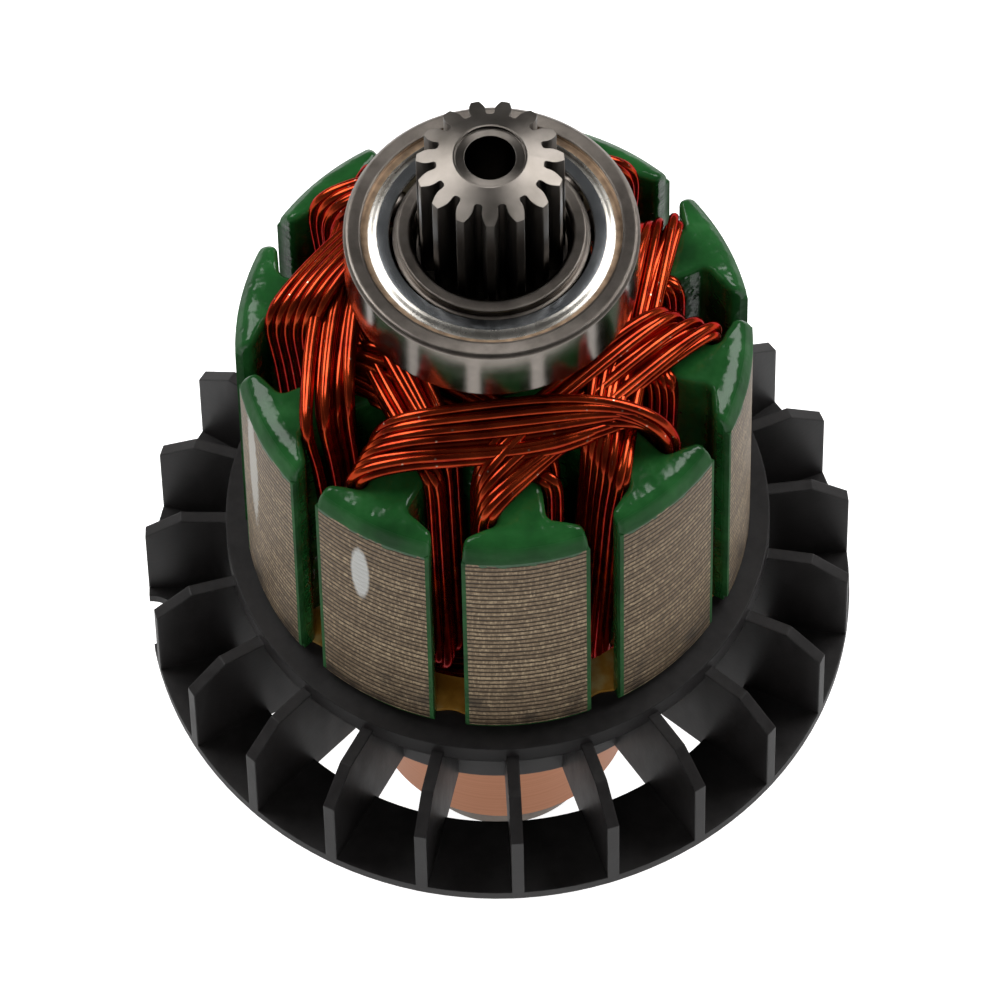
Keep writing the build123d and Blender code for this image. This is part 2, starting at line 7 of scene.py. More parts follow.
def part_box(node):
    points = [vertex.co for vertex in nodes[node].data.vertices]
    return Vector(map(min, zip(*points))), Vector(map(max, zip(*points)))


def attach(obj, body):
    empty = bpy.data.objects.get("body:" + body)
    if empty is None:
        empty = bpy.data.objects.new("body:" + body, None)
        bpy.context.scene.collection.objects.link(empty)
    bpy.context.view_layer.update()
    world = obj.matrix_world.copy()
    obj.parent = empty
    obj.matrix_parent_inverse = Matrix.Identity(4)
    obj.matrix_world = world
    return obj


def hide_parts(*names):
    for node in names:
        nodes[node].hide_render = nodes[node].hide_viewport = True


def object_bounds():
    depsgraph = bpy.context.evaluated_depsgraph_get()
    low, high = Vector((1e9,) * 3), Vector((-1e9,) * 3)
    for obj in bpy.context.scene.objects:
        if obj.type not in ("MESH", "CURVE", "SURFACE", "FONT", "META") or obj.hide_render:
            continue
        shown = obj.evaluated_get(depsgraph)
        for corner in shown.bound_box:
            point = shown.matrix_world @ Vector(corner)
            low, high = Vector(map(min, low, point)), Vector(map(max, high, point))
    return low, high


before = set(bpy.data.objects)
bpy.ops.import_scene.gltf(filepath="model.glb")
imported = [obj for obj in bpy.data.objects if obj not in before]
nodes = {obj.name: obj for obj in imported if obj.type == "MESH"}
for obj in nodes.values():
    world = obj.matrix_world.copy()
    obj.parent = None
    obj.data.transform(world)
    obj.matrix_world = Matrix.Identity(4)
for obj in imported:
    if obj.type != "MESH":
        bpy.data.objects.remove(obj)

cad_low, cad_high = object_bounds()
bpy.ops.object.select_all(action="DESELECT")


# Shaft and pinion. One bar of case-hardened steel, turned and ground to size, with fifteen straight
# teeth hobbed in its front end and the end face turned flat, so its marks run round the axis.
# The spacer behind the commutator is turned from the same steel.
MM = 0.001
BLACK = (0, 0, 0, 1)
WHITE = (1, 1, 1, 1)
STAIN_WIDTH = 3 * MM
SHAFT_EDGE = 0.1 * MM
# How far a face looks along the axis, from 0 to 1: painted shade below the first value, painted light above
# the second
SHADED_BELOW = 0.6
BRIGHT_ABOVE = 0.97
# Marks of a turning tool. Real ones lie about a tenth of a millimetre apart, which is too fine to
# show, so they are drawn coarser.
TOOL_MARK = 0.35 * MM


def linear(code):
    """The linear colour, with alpha, of a colour written as six hex digits of sRGB."""
    values = []
    for start in (0, 2, 4):
        share = int(code[start:start + 2], 16) / 255
        values.append(share / 12.92 if share <= 0.04045 else ((share + 0.055) / 1.055) ** 2.4)
    return (*values, 1)


def start_material(name, **settings):
    """An empty material and its shader, with the sockets that are the same all over it."""
    material = bpy.data.materials.new(name)
    material.use_nodes = True
    shader = material.node_tree.nodes["Principled BSDF"]
    for socket, value in settings.items():
        shader.inputs[socket.replace("_", " ")].default_value = value
    return material, shader


def add_node(owner, kind, settings=None, values=None, links=None, stops=None):
    """Adds a node with its settings, its socket values, links from other nodes' sockets and ramp stops."""
    node = owner.node_tree.nodes.new(kind)
    for name, value in (settings or {}).items():
        setattr(node, name, value)
    for name, value in (values or {}).items():
        node.inputs[name].default_value = value
    for name, source in (links or {}).items():
        owner.node_tree.links.new(source, node.inputs[name])
    for number, (place, colour) in enumerate(stops or []):
        if number >= len(node.color_ramp.elements):
            node.color_ramp.elements.new(1)
        node.color_ramp.elements[number].position = place
        node.color_ramp.elements[number].color = colour
    return node


def feed(owner, shader, **sources):
    """Feeds sockets of a shader from other nodes' sockets."""
    for socket, source in sources.items():
        owner.node_tree.links.new(source, shader.inputs[socket.replace("_", " ")])


# Turned steel: a metal with fine marks round the axis, so highlights spread into a bow tie on its end
turned_steel, shader = start_material("turned_steel", Metallic=1, Anisotropic=0.8)
steel_place = add_node(turned_steel, "ShaderNodeTexCoord")
place = steel_place.outputs["Object"]
stain = add_node(turned_steel, "ShaderNodeTexNoise", values={"Scale": 1 / STAIN_WIDTH, "Detail": 5},
                 links={"Vector": place})
tint = add_node(turned_steel, "ShaderNodeValToRGB", links={"Fac": stain.outputs["Fac"]},
                stops=[(0.3, linear("756f68")), (0.7, linear("948d86"))])
# Upright faces are painted darker, as painted shade, and faces that look along the axis are painted bright,
# as painted light
facing = add_node(turned_steel, "ShaderNodeSeparateXYZ", links={"Vector": steel_place.outputs["Normal"]})
level_face = add_node(turned_steel, "ShaderNodeMath", {"operation": "ABSOLUTE"},
                      links={0: facing.outputs["Z"]})
bright = add_node(turned_steel, "ShaderNodeMapRange",
                  values={"From Min": SHADED_BELOW, "From Max": BRIGHT_ABOVE},
                  links={"Value": level_face.outputs["Value"]})
painted_shade_upright = add_node(turned_steel, "ShaderNodeMix", {"data_type": "RGBA"}, {6: linear("4b4743")},
                 {0: bright.outputs["Result"], 7: tint.outputs["Color"]})
polish = add_node(turned_steel, "ShaderNodeMapRange", values={"To Min": 0.26, "To Max": 0.42},
                  links={"Value": stain.outputs["Fac"]})
round_axis = add_node(turned_steel, "ShaderNodeTangent", {"direction_type": "RADIAL", "axis": "Z"})
flat_place = add_node(turned_steel, "ShaderNodeVectorMath", {"operation": "MULTIPLY"},
                      {1: (1, 1, 0)}, {0: place})
from_axis = add_node(turned_steel, "ShaderNodeVectorMath", {"operation": "LENGTH"},
                     links={0: flat_place.outputs["Vector"]})
rings = add_node(turned_steel, "ShaderNodeTexNoise", {"noise_dimensions": "1D"},
                 {"Scale": 1 / TOOL_MARK, "Detail": 3}, {"W": from_axis.outputs["Value"]})
edge = add_node(turned_steel, "ShaderNodeBevel", {"samples": 4}, {"Radius": SHAFT_EDGE})
bump = add_node(turned_steel, "ShaderNodeBump", values={"Strength": 0.1, "Distance": 0.03 * MM},
                links={"Height": rings.outputs["Fac"], "Normal": edge.outputs["Normal"]})
feed(turned_steel, shader, Base_Color=painted_shade_upright.outputs[2], Roughness=polish.outputs["Result"],
     Tangent=round_axis.outputs["Tangent"], Normal=bump.outputs["Normal"])
for name in ("shaft", "rear_spacer"):
    nodes[name].data.materials[0] = turned_steel


# Core. About forty punched sheets of electrical steel, stacked and pressed on the shaft, then ground
# round. Their edges show as fine lines round the teeth, dull, brownish and a little worn, with a
# dab of white marking paint on one tooth, a smear of it on the next, and green where the coat ran over.
SHEET_PITCH = 0.77 * MM
SHEET_WAVE_WIDTH = 5 * MM
SHEET_WAVE_HEIGHT = 0.4 * MM
WEAR_WIDTH = 0.28 * MM
WEAR_STRETCH = 0.3
SHEET_CONTRAST = 0.14
LOW_BLOTCH_WIDTH = 3 * MM
LOW_DARKENING_REACH = 12 * MM
RUN_WIDTH = 1.3 * MM
RUN_LENGTH = 2.4 * MM
RUN_FADES = 0.85 * MM
RUN_COVERS = 1.0 * MM
# Dabs of paint: direction round the core in degrees, height of the middle, half width and half height
# in millimetres, how broken the edge is, how well it covers, and its white
PAINT_DABS = (
    (237.7, 71.4, 0.95, 4.3, 0.3, 1.0, "dcdcd8"),
    (199.5, 70.5, 1.1, 9.5, 1.3, 0.75, "c8c6bf"),
)
DAB_DEPTH = 5 * MM
DAB_ENDS = 1.15
DAB_COVERS = 0.9
core_low, core_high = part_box("core")
# Electrical steel, ground across the sheets: dark seams, a shade of its own for each sheet, and no
# clear highlight, because the edges of the sheets are rough
laminations, shader = start_material("laminated_steel")
place = add_node(laminations, "ShaderNodeTexCoord").outputs["Object"]
axes = add_node(laminations, "ShaderNodeSeparateXYZ", links={"Vector": place})
ripple = add_node(laminations, "ShaderNodeTexNoise", values={"Scale": 1 / SHEET_WAVE_WIDTH, "Detail": 2},
                  links={"Vector": place})
height = add_node(laminations, "ShaderNodeMath", {"operation": "MULTIPLY_ADD"}, {1: SHEET_WAVE_HEIGHT},
                  {0: ripple.outputs["Fac"], 2: axes.outputs["Z"]})
turns = add_node(laminations, "ShaderNodeMath", {"operation": "DIVIDE"}, {1: SHEET_PITCH},
                 {0: height.outputs["Value"]})
within = add_node(laminations, "ShaderNodeMath", {"operation": "PINGPONG"}, {1: 0.5},
                  {0: turns.outputs["Value"]})
seam = add_node(laminations, "ShaderNodeValToRGB", links={"Fac": within.outputs["Value"]},
                stops=[(0.05, BLACK), (0.24, WHITE)])
sheet = add_node(laminations, "ShaderNodeMath", {"operation": "FLOOR"}, links={0: turns.outputs["Value"]})
sheet_shade = add_node(laminations, "ShaderNodeTexWhiteNoise", {"noise_dimensions": "1D"},
                       links={"W": sheet.outputs["Value"]})
streak = add_node(laminations, "ShaderNodeMapping", values={"Scale": (1, 1, WEAR_STRETCH)},
                  links={"Vector": place})
wear = add_node(laminations, "ShaderNodeTexNoise",
                values={"Scale": 1 / WEAR_WIDTH, "Detail": 3, "Roughness": 0.8},
                links={"Vector": streak.outputs["Vector"]})
mixed_wear = add_node(laminations, "ShaderNodeMath", {"operation": "MULTIPLY_ADD"}, {1: SHEET_CONTRAST},
                      {0: sheet_shade.outputs["Value"], 2: wear.outputs["Fac"]})
face_tint = add_node(laminations, "ShaderNodeValToRGB", links={"Fac": mixed_wear.outputs["Value"]},
                     stops=[(0.4, linear("6a5945")), (0.58, linear("86735b")), (0.76, linear("b9a586"))])
lined = add_node(laminations, "ShaderNodeMix", {"data_type": "RGBA"}, {6: linear("2c2219")},
                 {0: seam.outputs["Color"], 7: face_tint.outputs["Color"]})
# Darker in blotches towards the bottom, over the lower third
low_blotches = add_node(laminations, "ShaderNodeTexNoise", values={"Scale": 1 / LOW_BLOTCH_WIDTH, "Detail": 3},
                      links={"Vector": place})
low_height_share = add_node(laminations, "ShaderNodeMapRange",
                       values={"From Min": core_low.z, "From Max": core_low.z + LOW_DARKENING_REACH,
                               "To Min": 0.16, "To Max": -0.1},
                       links={"Value": axes.outputs["Z"]})
low_darkening_sum = add_node(laminations, "ShaderNodeMath", {"operation": "ADD"},
                    links={0: low_blotches.outputs["Fac"], 1: low_height_share.outputs["Result"]})
low_darkening = add_node(laminations, "ShaderNodeMapRange",
                values={"From Min": 0.6, "From Max": 0.82, "To Max": 0.75},
                links={"Value": low_darkening_sum.outputs["Value"]})
darker_low = add_node(laminations, "ShaderNodeMix", {"data_type": "RGBA"}, {7: linear("2a2520")},
                 {0: low_darkening.outputs["Result"], 6: lined.outputs[2]})
# Green epoxy that ran a little way down from the top edge
run_noise = add_node(laminations, "ShaderNodeTexNoise", values={"Scale": 1 / RUN_WIDTH, "Detail": 3},
                     links={"Vector": place})
run_edge = add_node(laminations, "ShaderNodeMath", {"operation": "MULTIPLY_ADD"}, {1: RUN_LENGTH},
                    {0: run_noise.outputs["Fac"], 2: axes.outputs["Z"]})
run_over = add_node(laminations, "ShaderNodeMapRange",
                    values={"From Min": core_high.z + RUN_FADES, "From Max": core_high.z + RUN_COVERS},
                    links={"Value": run_edge.outputs["Value"]})
with_green = add_node(laminations, "ShaderNodeMix", {"data_type": "RGBA"}, {7: linear("2b5a33")},
                      {0: run_over.outputs["Result"], 6: darker_low.outputs[2]})
colour = with_green.outputs[2]
covered = run_over.outputs["Result"]
for direction, middle, half_width, half_height, broken, white, code in PAINT_DABS:
    own = add_node(laminations, "ShaderNodeMapping", {"vector_type": "POINT"},
                   {"Location": (-core_high.x, 0, -middle * MM),
                    "Rotation": (0, 0, -math.radians(direction))},
                   {"Vector": place})
    stretched = add_node(laminations, "ShaderNodeVectorMath", {"operation": "MULTIPLY"},
                         {1: (1 / DAB_DEPTH, 1 / (half_width * MM), 1 / (half_height * MM))},
                         {0: own.outputs["Vector"]})
    reach = add_node(laminations, "ShaderNodeVectorMath", {"operation": "LENGTH"},
                     links={0: stretched.outputs["Vector"]})
    rough_reach = add_node(laminations, "ShaderNodeMath", {"operation": "MULTIPLY_ADD"}, {1: broken},
                           {0: wear.outputs["Fac"], 2: reach.outputs["Value"]})
    dab = add_node(laminations, "ShaderNodeMapRange",
                   values={"From Min": DAB_ENDS + broken / 2, "From Max": DAB_COVERS + broken / 2,
                           "To Max": white},
                   links={"Value": rough_reach.outputs["Value"]})
    painted = add_node(laminations, "ShaderNodeMix", {"data_type": "RGBA"}, {7: linear(code)},
                       {0: dab.outputs["Result"], 6: colour})
    both = add_node(laminations, "ShaderNodeMath", {"operation": "MAXIMUM"},
                    links={0: covered, 1: dab.outputs["Result"]})
    colour = painted.outputs[2]
    covered = both.outputs["Value"]
metal = add_node(laminations, "ShaderNodeMapRange", values={"To Min": 0.7, "To Max": 0},
                 links={"Value": covered})
sheen = add_node(laminations, "ShaderNodeMapRange", values={"To Min": 0.42, "To Max": 0.58},
                 links={"Value": wear.outputs["Fac"]})
line_bump = add_node(laminations, "ShaderNodeBump", values={"Strength": 0.9, "Distance": 0.08 * MM},
                     links={"Height": seam.outputs["Color"]})
wear_bump = add_node(laminations, "ShaderNodeBump", values={"Strength": 0.5, "Distance": 0.06 * MM},
                     links={"Height": wear.outputs["Fac"], "Normal": line_bump.outputs["Normal"]})
feed(laminations, shader, Base_Color=colour, Metallic=metal.outputs["Result"],
     Roughness=sheen.outputs["Result"], Normal=wear_bump.outputs["Normal"])
nodes["core"].data.materials[0] = laminations


# Epoxy coat. Green epoxy powder melted on to the core's ends and into its slots, where it flows a
# little before it sets: thick, glossy and round at its edges, with a few pits and bumps.
CLOUD_WIDTH = 4 * MM
FLOW_WIDTH = 2.2 * MM
PIT_SPACING = 2.2 * MM
# Where the coat was ground off with the core's outside, measured inward from the core's radius
GROUND_FROM = 0.9 * MM
GROUND_TO = 0.1 * MM
coat_low, coat_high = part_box("core_coat")
# Epoxy: a deep, slightly cloudy green under a smooth skin that mirrors the light boxes in streaks
epoxy, shader = start_material("green_epoxy", Specular_IOR_Level=0.35)
place = add_node(epoxy, "ShaderNodeTexCoord").outputs["Object"]
cloud = add_node(epoxy, "ShaderNodeTexNoise", values={"Scale": 1 / CLOUD_WIDTH, "Detail": 4},
                 links={"Vector": place})
green = add_node(epoxy, "ShaderNodeValToRGB", links={"Fac": cloud.outputs["Fac"]},
                 stops=[(0.3, linear("17421d")), (0.55, linear("205627")), (0.8, linear("326c38"))])
flow = add_node(epoxy, "ShaderNodeTexNoise", values={"Scale": 1 / FLOW_WIDTH, "Detail": 2},
                links={"Vector": place})
flow_bump = add_node(epoxy, "ShaderNodeBump", values={"Strength": 0.7, "Distance": 0.3 * MM},
                     links={"Height": flow.outputs["Fac"]})
# Craters where gas came out, less than a millimetre across and a few to a tooth
pits = add_node(epoxy, "ShaderNodeTexVoronoi", values={"Scale": 1 / PIT_SPACING}, links={"Vector": place})
pit_shape = add_node(epoxy, "ShaderNodeValToRGB", links={"Fac": pits.outputs["Distance"]},
                     stops=[(0.06, BLACK), (0.16, WHITE)])
pit_bump = add_node(epoxy, "ShaderNodeBump", values={"Strength": 0.35, "Distance": 0.1 * MM},
                    links={"Height": pit_shape.outputs["Color"], "Normal": flow_bump.outputs["Normal"]})
# The ground edge is matt
across = add_node(epoxy, "ShaderNodeVectorMath", {"operation": "MULTIPLY"}, {1: (1, 1, 0)}, {0: place})
from_axis = add_node(epoxy, "ShaderNodeVectorMath", {"operation": "LENGTH"},
                     links={0: across.outputs["Vector"]})
ground = add_node(epoxy, "ShaderNodeMapRange",
                  values={"From Min": core_high.x - GROUND_FROM, "From Max": core_high.x - GROUND_TO,
                          "To Min": 0.16, "To Max": 0.75},
                  links={"Value": from_axis.outputs["Value"]})
feed(epoxy, shader, Base_Color=green.outputs["Color"], Roughness=ground.outputs["Result"],
     Normal=pit_bump.outputs["Normal"])
nodes["core_coat"].data.materials[0] = epoxy


# Coils. Ten coils of round enamelled copper wire, each wound over three teeth and laid over the one
# before, five levels deep, then dipped in varnish. Each wire is a closed loop through two slots,
# beside the necks of its outer teeth, and the wires of a bundle cross a little on their way.
WIRE = 0.98 * MM
WIRES_ACROSS = 6
WIRE_LAYERS = 2
LEVELS = 5
SLOT_PITCH = math.radians(36)
COIL_SPAN = 3 * SLOT_PITCH
FIRST_SLOT = math.radians(6.1)
LAYER_STEP = 0.9 * MM
# Front heads, in millimetres: distance of each coil's middle from the axis and height of each level
# over the coat. The outer wires lie lower than the inner ones.
FRONT_PATHS = (10.0, 10.0, 9.6, 11.0, 12.8, 14.8, 13.2, 14.6, 14.4, 14.2)
FRONT_TOPS = (1.7, 2.6, 3.5, 4.4, 5.4)
FRONT_STEP = 0.84 * MM
FRONT_SLOPE = 0.5 * MM
# A front head keeps its height and falls to the coat's edge near its ends: height of the edge and of
# the legs' ends over the coat, and the power that holds the fall back
EDGE_RISE = 1.1 * WIRE
HEAD_FOOT = 1.5 * MM
FRONT_FALL_POWER = 5
# Rear heads, which lie flat on each other and rise to the slots at their ends
REAR_PATHS = (10.0, 10.0, 10.0, 10.0, 14.0)
REAR_GAP = 0.2 * MM
REAR_LEVEL = 1.9 * MM
REAR_STEP = 0.82 * MM
REAR_RISE = 0.4
REAR_RISE_POWER = 8
# Legs beside the necks: the later coils lie further out, lean more and bulge over the coat's edge
NECK_SIDE = 2.5 * MM
LEG_INNER = 14.0 * MM
LEG_STEP = 0.78 * MM
LEG_INSETS = (1.2, 1.2, 0, 0, 0)
LEG_LEANS = (0.8, 1.0, 2.3, 2.3, 2.3)
LEG_BULGES = (0, 0, 0.8, 0.8, 1.3)
BULGE_START = 4 * MM
BULGE_HEIGHT = 5.5 * MM
# Where the points of a wire lie: along a head from -1 to 1, over the coat's upper end, over its lower
# end, and below that as a share of the rear head's depth
HEAD_SHARES = (-0.92, -0.72, -0.48, -0.18, 0.18, 0.48, 0.72, 0.92)
LEG_TOPS = (0.3 * MM, -4 * MM, -11 * MM)
LEG_FEET = (10 * MM, 1.5 * MM)
LEG_END_SHARE = 0.35
# Random shifts, so that no two wires lie quite alike: of the place in its row, in wires, and of the
# distance from the neck, the path, the height and the droop, which is the share of its height that
# a front head falls at its ends. One coil is twisted, so that its row of wires turns over.
PLACE_SHIFT = 0.3
ACROSS_SHIFT = 0.08 * MM
PATH_SHIFT = 0.3 * MM
LIFT_SHIFT = 0.25 * MM
DROOP = 0.66
DROOP_SHIFT = 0.12
TWISTED_COIL = 8
# Enamel and varnish: patches of darker red, spacing of the drops and of the painted glints, width of the
# film's waves, radius of a painted glint as a share of its cell, and the share of cells without one
SHADE_WIDTH = 2.5 * MM
DROP_SPACING = 1.3 * MM
GLINT_SPACING = 0.8 * MM
FILM_WIDTH = 0.8 * MM
GLINT_RADIUS = 0.13
GLINTS_LEFT_OUT = 0.72
# Enamelled copper: a clear red film on bright metal, so that its highlights are as red as the wire,
# under a thin coat of varnish that adds small white glints
enamel, shader = start_material("enamelled_copper", Metallic=0.97, Coat_Weight=0.12, Coat_Roughness=0.05,
                                Specular_Tint=linear("d8552e"))
place = add_node(enamel, "ShaderNodeTexCoord").outputs["Object"]
shade = add_node(enamel, "ShaderNodeTexNoise", values={"Scale": 1 / SHADE_WIDTH, "Detail": 3},
                 links={"Vector": place})
red = add_node(enamel, "ShaderNodeValToRGB", links={"Fac": shade.outputs["Fac"]},
               stops=[(0.3, linear("86240f")), (0.7, linear("c24822"))])
gloss = add_node(enamel, "ShaderNodeMapRange", values={"To Min": 0.17, "To Max": 0.28},
                 links={"Value": shade.outputs["Fac"]})
# Varnish that gathered in drops about a third of a millimetre across
drops = add_node(enamel, "ShaderNodeTexVoronoi", values={"Scale": 1 / DROP_SPACING},
                 links={"Vector": place})
drop_shape = add_node(enamel, "ShaderNodeValToRGB", links={"Fac": drops.outputs["Distance"]},
                      stops=[(0.08, WHITE), (0.17, BLACK)])
varnish = add_node(enamel, "ShaderNodeTexNoise", values={"Scale": 1 / FILM_WIDTH, "Detail": 3},
                   links={"Vector": place})
film = add_node(enamel, "ShaderNodeBump", values={"Strength": 0.1, "Distance": 0.06 * MM},
                links={"Height": varnish.outputs["Fac"]})
# Pale painted glints, about a fifth of a millimetre across, on some of the cells, as painted highlights on
# the varnish
glint_cells = add_node(enamel, "ShaderNodeTexVoronoi", values={"Scale": 1 / GLINT_SPACING},
                       links={"Vector": place})
glint_dot = add_node(enamel, "ShaderNodeMath", {"operation": "LESS_THAN"}, {1: GLINT_RADIUS},
                     {0: glint_cells.outputs["Distance"]})
glint_pick = add_node(enamel, "ShaderNodeSeparateColor", links={"Color": glint_cells.outputs["Color"]})
glint_kept = add_node(enamel, "ShaderNodeMath", {"operation": "GREATER_THAN"}, {1: GLINTS_LEFT_OUT},
                      {0: glint_pick.outputs["Red"]})
painted_glint = add_node(enamel, "ShaderNodeMath", {"operation": "MULTIPLY"},
                 links={0: glint_dot.outputs["Value"], 1: glint_kept.outputs["Value"]})
with_painted_glints = add_node(enamel, "ShaderNodeMix", {"data_type": "RGBA"}, {7: linear("c9a08c")},
                    {0: painted_glint.outputs["Value"], 6: red.outputs["Color"]})
drop_bump = add_node(enamel, "ShaderNodeBump", values={"Strength": 0.8, "Distance": 0.12 * MM},
                     links={"Height": drop_shape.outputs["Color"], "Normal": film.outputs["Normal"]})
feed(enamel, shader, Base_Color=with_painted_glints.outputs[2], Roughness=gloss.outputs["Result"],
     Normal=film.outputs["Normal"], Coat_Normal=drop_bump.outputs["Normal"])

dice = random.Random(11)


def shift(width):
    """A random shift within this width, half of it to either side."""
    return width * (dice.random() - 0.5)


def beside_neck(side, along, across):
    """A point beside the neck of the coil's last tooth on one side, in the coil's own frame."""
    return (
        along * math.cos(SLOT_PITCH) - across * math.sin(SLOT_PITCH),
        side * (along * math.sin(SLOT_PITCH) + across * math.cos(SLOT_PITCH)),
    )


def lean_out(level, z):
    """How far a leg of this level leans outward at this height."""
    return LEG_LEANS[level] * MM * min(1, (z - coat_low.z) / (coat_high.z - coat_low.z))


def wire_loop(index, number, layer):
    """Points of one closed turn of a coil, in the coil's own frame, where its middle lies along +X."""
    level = index // 2
    # Now and then an inner wire trades places with its neighbour on the way over the head
    trade = dice.choice((-1, 0, 0, 1)) if 0 < number < WIRES_ACROSS - 1 else 0
    far_number = WIRES_ACROSS - 1 - number if index == TWISTED_COIL else number + trade
    ranks = {-1: number + shift(PLACE_SHIFT), 1: far_number + shift(PLACE_SHIFT)}
    across = NECK_SIDE + WIRE / 2 + LAYER_STEP * layer + ACROSS_SHIFT * dice.random()
    rank = number - (WIRES_ACROSS - 1) / 2 + 0.5 * trade
    swell = shift(PATH_SHIFT)
    lift = shift(LIFT_SHIFT)
    droop = DROOP + DROOP_SHIFT * dice.random()

    def leg(side, z):
        out = max(0, min(1, (z - coat_high.z + BULGE_START) / BULGE_HEIGHT))
        bulge = LEG_BULGES[level] * out * ranks[side] / WIRES_ACROSS
        foot = LEG_INNER - LEG_INSETS[level] * MM + WIRE / 2
        along = foot + ranks[side] * LEG_STEP + bulge * MM + lean_out(level, z)
        return (*beside_neck(side, along, across), z)

    def head(share, is_front):
        if is_front:
            path = FRONT_PATHS[index] * MM + rank * FRONT_STEP + swell
            full = coat_high.z + FRONT_TOPS[level] * MM - rank * FRONT_SLOPE - LAYER_STEP * (1 - layer) + lift
            edge = coat_high.z + EDGE_RISE
            z = full - droop * (full - edge) * abs(share) ** FRONT_FALL_POWER
            ends = leg(-1, coat_high.z + HEAD_FOOT), leg(1, coat_high.z + HEAD_FOOT)
        else:
            path = REAR_PATHS[level] * MM + rank * REAR_STEP + swell
            full = coat_low.z - REAR_GAP - level * REAR_LEVEL - WIRE / 2 - LAYER_STEP * layer
            z = full + REAR_RISE * (coat_low.z - full) * abs(share) ** REAR_RISE_POWER
            ends = leg(-1, full), leg(1, full)
        part = (share + 1) / 2
        end_x = ends[0][0] + (ends[1][0] - ends[0][0]) * part
        end_y = -ends[0][1] + (ends[1][1] + ends[0][1]) * part
        return (path + (end_x - path) * share**2, end_y * share, z)

    depth = REAR_GAP + level * REAR_LEVEL
    heights = [coat_high.z + top for top in LEG_TOPS]
    heights += [coat_low.z + foot for foot in LEG_FEET]
    heights.append(coat_low.z - LEG_END_SHARE * depth)
    points = [leg(-1, z) for z in reversed(heights)]
    points += [head(share, True) for share in HEAD_SHARES]
    points += [leg(1, z) for z in heights]
    points += [head(share, False) for share in reversed(HEAD_SHARES)]
    return points


# Leads. The end of each coil's wire, of the same enamelled copper, laid down beside the hook of the
# nearest bar and under it. The hooks' places are those of the bars in the solids.
HOOK_TURN = math.radians(-2.6)
HOOK_WIRE_RADIUS = 13.5 * MM
HOOK_WIRE_HEIGHT = 29.525 * MM
HOOK_TOP = 30.8 * MM
HOOK_SIDE = 1.875 * MM
UNDER_HOOK_SHARE = 0.8
LEAD_ALONG = 17.8 * MM
LEAD_ACROSS = 3.4 * MM
LEAD_LOW = 36.4 * MM
LEAD_OVER_HOOK = 1 * MM
LEAD_BEND = 0.3 * MM


def lead_run(level):
    """Points of the lead of a coil, in the coil's own frame."""
    top = coat_low.z - REAR_GAP - level * REAR_LEVEL - WIRE
    slot_turn = -COIL_SPAN / 2 + HOOK_TURN

    def at_hook(across, z):
        return (
            HOOK_WIRE_RADIUS * math.cos(slot_turn) - across * math.sin(slot_turn),
            HOOK_WIRE_RADIUS * math.sin(slot_turn) + across * math.cos(slot_turn),
            z,
        )

    beside = beside_neck(-1, LEAD_ALONG - LEG_INSETS[level] * MM + lean_out(level, top), LEAD_ACROSS)
    return [
        (*beside, top),
        (*beside, LEAD_LOW),
        at_hook(HOOK_SIDE, HOOK_TOP + LEAD_OVER_HOOK),
        at_hook(HOOK_SIDE, HOOK_WIRE_HEIGHT + LEAD_BEND),
        at_hook(HOOK_SIDE * UNDER_HOOK_SHARE, HOOK_WIRE_HEIGHT),
        at_hook(-HOOK_SIDE * UNDER_HOOK_SHARE, HOOK_WIRE_HEIGHT),
    ]


def lay_wire(curve, points, middle, closed):
    """Adds one smooth wire to a curve, turned to the coil's place."""
    wire = curve.splines.new("NURBS")
    wire.points.add(len(points) - 1)
    for spot, (x, y, z) in zip(wire.points, points):
        turned_x = x * math.cos(middle) - y * math.sin(middle)
        turned_y = x * math.sin(middle) + y * math.cos(middle)
        spot.co = (turned_x, turned_y, z, 1)
    wire.order_u = 4 if closed else 3
    wire.use_cyclic_u = closed
    wire.use_endpoint_u = not closed


# Two coils to a level, opposite each other, and each level one slot on from the one before
for index in range(2 * LEVELS):
    level = index // 2
    middle = FIRST_SLOT - level * SLOT_PITCH + math.pi * (index % 2) + COIL_SPAN / 2
    curve = bpy.data.curves.new(f"coil_wires_{index + 1}", "CURVE")
    curve.dimensions = "3D"
    curve.bevel_depth = WIRE / 2
    curve.bevel_resolution = 3
    curve.resolution_u = 5
    curve.use_fill_caps = True
    for layer in range(WIRE_LAYERS):
        for number in range(WIRES_ACROSS):
            lay_wire(curve, wire_loop(index, number, layer), middle, True)
    lay_wire(curve, lead_run(level), middle, False)
    coil = bpy.data.objects.new(f"coil_wires_{index + 1}", curve)
    bpy.context.scene.collection.objects.link(coil)
    bpy.context.view_layer.objects.active = coil
    coil.select_set(True)
    bpy.ops.object.convert(target="MESH")
    coil = bpy.context.active_object
    bpy.ops.object.shade_smooth()
    coil.data.materials.append(enamel)
    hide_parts(f"coil_{index + 1}")
    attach(coil, "rotor")
    coil.select_set(False)


# Amber washer. A thin ring cut from varnished fibre board, which lies under the core and keeps the
# winding's rear ends off the fan. It shows at the foot of the slots.
FIBRE_WIDTH = 3 * MM
# Varnished fibre: a cloudy amber with paler fibres under a clear gloss
amber, shader = start_material("varnished_fibre", Coat_Weight=0.6, Coat_Roughness=0.1)
place = add_node(amber, "ShaderNodeTexCoord").outputs["Object"]
fibre = add_node(amber, "ShaderNodeTexNoise", values={"Scale": 1 / FIBRE_WIDTH, "Detail": 5},
                 links={"Vector": place})
tone = add_node(amber, "ShaderNodeValToRGB", links={"Fac": fibre.outputs["Fac"]},
                stops=[(0.35, linear("97661f")), (0.55, linear("c48e3a")), (0.7, linear("d6bb7c"))])
dull = add_node(amber, "ShaderNodeMapRange", values={"To Min": 0.3, "To Max": 0.55},
                links={"Value": fibre.outputs["Fac"]})
feed(amber, shader, Base_Color=tone.outputs["Color"], Roughness=dull.outputs["Result"])
nodes["amber_washer"].data.materials[0] = amber


